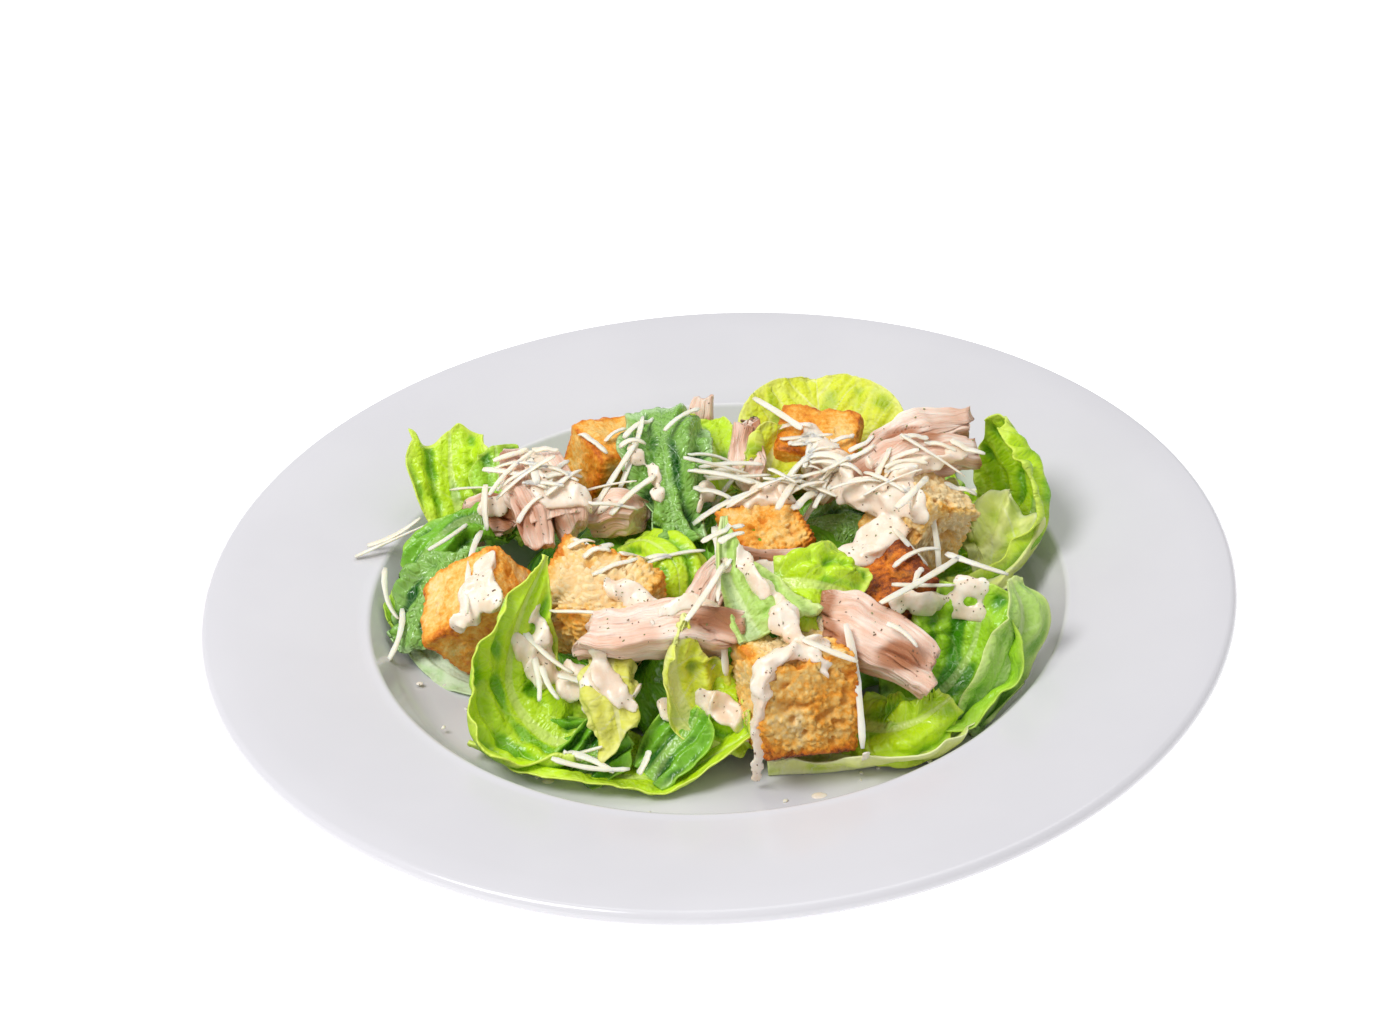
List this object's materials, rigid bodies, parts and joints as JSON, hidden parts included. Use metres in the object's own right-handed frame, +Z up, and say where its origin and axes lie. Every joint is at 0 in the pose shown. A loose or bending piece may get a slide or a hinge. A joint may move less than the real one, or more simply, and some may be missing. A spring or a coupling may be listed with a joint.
{
  "type": "caesar salad",
  "caption": "Caesar salad of romaine leaves, toasted bread cubes, torn chicken, creamy dressing and grated hard cheese, heaped in the well of a wide-rimmed round white porcelain plate.",
  "frame": {"origin": "the middle of the plate's foot, on the table it stands on", "axes": "+Z up out of the plate, +X to the eater's right, -Y towards the eater"},
  "size_m": [0.27, 0.27, 0.0577],
  "materials": {
    "porcelain": "white porcelain under a clear glossy glaze",
    "lettuce": "fresh waxy leaf, lime green with pale ribs",
    "dark_lettuce": "fresh waxy leaf, deep green and blistered",
    "bread": "toasted bread, orange-brown crust and pale open crumb",
    "chicken": "cooked meat torn along its fibres, moist",
    "dressing": "creamy sauce with fine herb specks",
    "cheese": "grated hard cheese, ivory"
  },
  "bodies": {
    "root": {"plate": "porcelain", "lettuce": "lettuce", "leaf_dark_top": "dark_lettuce", "leaf_curl_pale": "lettuce", "leaf_curl_bright": "lettuce", "crouton_left": "bread", "crouton_left_middle": "bread", "crouton_back_left": "bread", "crouton_back": "bread", "crouton_middle": "bread", "crouton_right": "bread", "crouton_right_dark": "bread", "crouton_front": "bread", "chicken_back_left": "chicken", "chicken_left_small": "chicken", "chicken_back_tip": "chicken", "chicken_back_slim": "chicken", "chicken_front": "chicken", "chicken_front_right": "chicken", "chicken_right": "chicken", "chicken_middle_left": "chicken", "chicken_centre": "chicken", "chicken_back_right": "chicken"}
  },
  "joints": []
}
